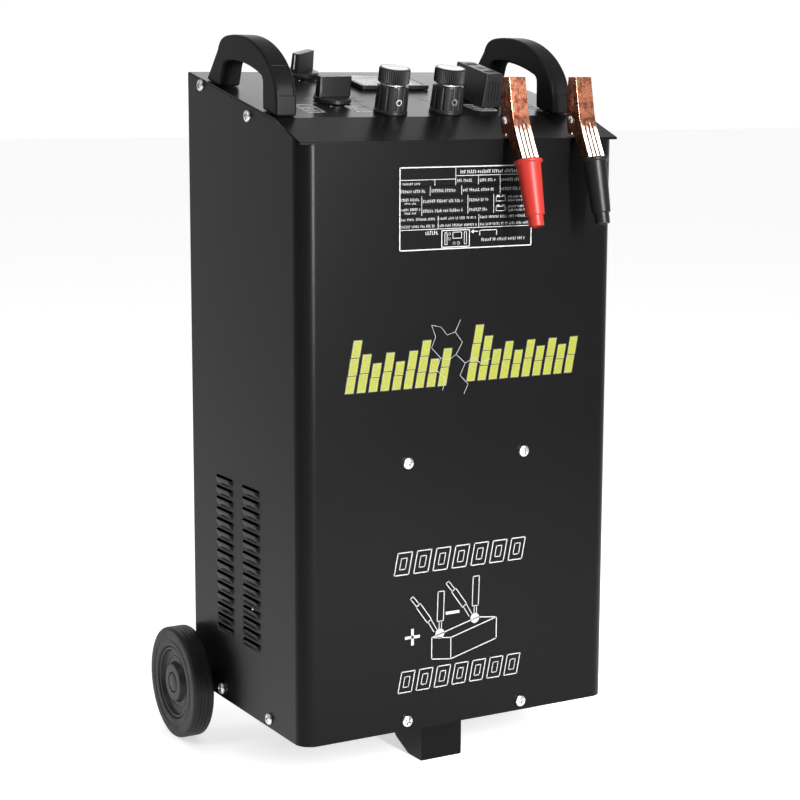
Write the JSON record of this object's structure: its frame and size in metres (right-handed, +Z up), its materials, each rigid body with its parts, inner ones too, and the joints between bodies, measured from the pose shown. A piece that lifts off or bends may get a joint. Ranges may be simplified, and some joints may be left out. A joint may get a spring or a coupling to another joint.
{
  "type": "car battery charger",
  "caption": "Wheeled workshop battery charger and engine starter: upright folded steel cabinet on a front foot and rear wheels, carrying handles, a sloped control panel and battery clamps",
  "frame": {"origin": "on the floor, under the middle of the bounding box", "axes": "+Z up, the front panel faces -Y and the wheels are at +Y, the axle runs along X"},
  "size_m": [0.3552, 0.313, 0.6339],
  "materials": {
    "black_powder_coat": "satin black powder coat over folded steel",
    "tyre_rubber": "smooth black moulded rubber",
    "wheel_plastic": "black moulded plastic",
    "handle_plastic": "fine-grained black moulded plastic",
    "zinc_plate": "bright zinc plate",
    "control_plastic": "black moulded plastic",
    "stud_brass": "turned, nickel flashed",
    "dial_white": "white enamel with a printed scale",
    "needle_red": "red enamel",
    "clear_lens": "clear polished acrylic",
    "core_steel": "varnished laminations",
    "winding_enamel": "enamelled copper wire",
    "sink_aluminium": "extruded, plain",
    "gland_rubber": "matte black",
    "clamp_copper": "copper plated pressed steel",
    "red_sleeve": "satin red vinyl",
    "black_sleeve": "satin black vinyl"
  },
  "bodies": {
    "cabinet": {"selector_front_switch": "control_plastic", "selector_rear_switch": "control_plastic", "left_post_collar": "control_plastic", "left_post_stud": "stud_brass", "right_post_collar": "control_plastic", "right_post_stud": "stud_brass", "ammeter_case": "control_plastic", "ammeter_dial": "dial_white", "ammeter_lens": "clear_lens", "fuse_base": "control_plastic", "fuse_strip": "zinc_plate", "wrap_cover": "black_powder_coat", "top_panel": "black_powder_coat", "rear_panel": "black_powder_coat", "base_plate": "black_powder_coat", "front_foot": "black_powder_coat", "front_screw_1": "zinc_plate", "front_screw_2": "zinc_plate", "front_screw_3": "zinc_plate", "front_screw_4": "zinc_plate", "left_screw_1": "zinc_plate", "left_screw_2": "zinc_plate", "left_screw_3": "zinc_plate", "left_screw_4": "zinc_plate", "right_screw_1": "zinc_plate", "right_screw_2": "zinc_plate", "right_screw_3": "zinc_plate", "right_screw_4": "zinc_plate", "axle": "zinc_plate", "left_axle_bracket": "black_powder_coat", "right_axle_bracket": "black_powder_coat", "left_handle": "handle_plastic", "right_handle": "handle_plastic", "transformer_core": "core_steel", "transformer_winding": "winding_enamel", "rectifier_sink": "sink_aluminium", "mains_gland": "gland_rubber", "lead_gland": "gland_rubber"},
    "left_wheel": {"left_tyre": "tyre_rubber", "left_hub": "wheel_plastic", "left_axle_cap": "wheel_plastic"},
    "right_wheel": {"right_tyre": "tyre_rubber", "right_hub": "wheel_plastic", "right_axle_cap": "wheel_plastic"},
    "selector_front": {"selector_front_knob": "control_plastic", "selector_front_spindle": "zinc_plate"},
    "selector_rear": {"selector_rear_knob": "control_plastic", "selector_rear_spindle": "zinc_plate"},
    "left_cap": {"left_post_cap": "control_plastic"},
    "right_cap": {"right_post_cap": "control_plastic"},
    "meter_needle": {"ammeter_needle": "needle_red"},
    "fuse_lid": {"fuse_cover": "control_plastic"},
    "red_clamp": {"red_clamp_arm": "clamp_copper", "red_clamp_sleeve": "red_sleeve", "red_clamp_pin": "zinc_plate"},
    "red_jaw": {"red_clamp_jaw": "clamp_copper"},
    "black_clamp": {"black_clamp_arm": "clamp_copper", "black_clamp_sleeve": "black_sleeve", "black_clamp_pin": "zinc_plate"},
    "black_jaw": {"black_clamp_jaw": "clamp_copper"}
  },
  "joints": [
    {"name": "left_wheel_spin", "type": "hinge", "parent": "cabinet", "child": "left_wheel", "pos_m": [-0.1675, 0.10568, 0.0508], "axis": [1, 0, 0], "continuous": true},
    {"name": "right_wheel_spin", "type": "hinge", "parent": "cabinet", "child": "right_wheel", "pos_m": [0.1675, 0.10568, 0.0508], "axis": [1, 0, 0], "continuous": true},
    {"name": "selector_front_turn", "type": "hinge", "parent": "cabinet", "child": "selector_front", "pos_m": [-0.0708, -0.01014, 0.58341], "axis": [0, -0.2098, 0.9778], "range_deg": [-60, 60]},
    {"name": "selector_rear_turn", "type": "hinge", "parent": "cabinet", "child": "selector_rear", "pos_m": [-0.0515, 0.08636, 0.60411], "axis": [0, -0.2098, 0.9778], "range_deg": [-60, 60]},
    {"name": "left_cap_turn", "type": "hinge", "parent": "cabinet", "child": "left_cap", "pos_m": [-0.037, -0.0571, 0.60299], "axis": [0, -0.2098, 0.9778], "range_deg": [0, 720]},
    {"name": "right_cap_turn", "type": "hinge", "parent": "cabinet", "child": "right_cap", "pos_m": [0.017, -0.0571, 0.60299], "axis": [0, -0.2098, 0.9778], "range_deg": [0, 720]},
    {"name": "needle_swing", "type": "hinge", "parent": "cabinet", "child": "meter_needle", "pos_m": [0.0145, 0.04317, 0.58615], "axis": [0, 0.2098, -0.9778], "range_deg": [0, 90], "stiffness_Nm_per_rad": 0.0005},
    {"name": "fuse_lid_lift", "type": "slide", "parent": "cabinet", "child": "fuse_lid", "axis": [0, -0.2098, 0.9778], "range_m": [0, 0.04]},
    {"name": "red_clamp_lift", "type": "slide", "parent": "cabinet", "child": "red_clamp", "axis": [0, 0, 1], "range_m": [0, 0.15]},
    {"name": "red_jaw_open", "type": "hinge", "parent": "red_clamp", "child": "red_jaw", "pos_m": [0.0454, -0.11212, 0.5637], "axis": [-1, 0, 0], "range_deg": [0, 30], "stiffness_Nm_per_rad": 0.3, "springref_deg": -20.05},
    {"name": "black_clamp_lift", "type": "slide", "parent": "cabinet", "child": "black_clamp", "axis": [0, 0, 1], "range_m": [0, 0.15]},
    {"name": "black_jaw_open", "type": "hinge", "parent": "black_clamp", "child": "black_jaw", "pos_m": [0.1118, -0.11212, 0.5637], "axis": [-1, 0, 0], "range_deg": [0, 30], "stiffness_Nm_per_rad": 0.3, "springref_deg": -20.05}
  ]
}
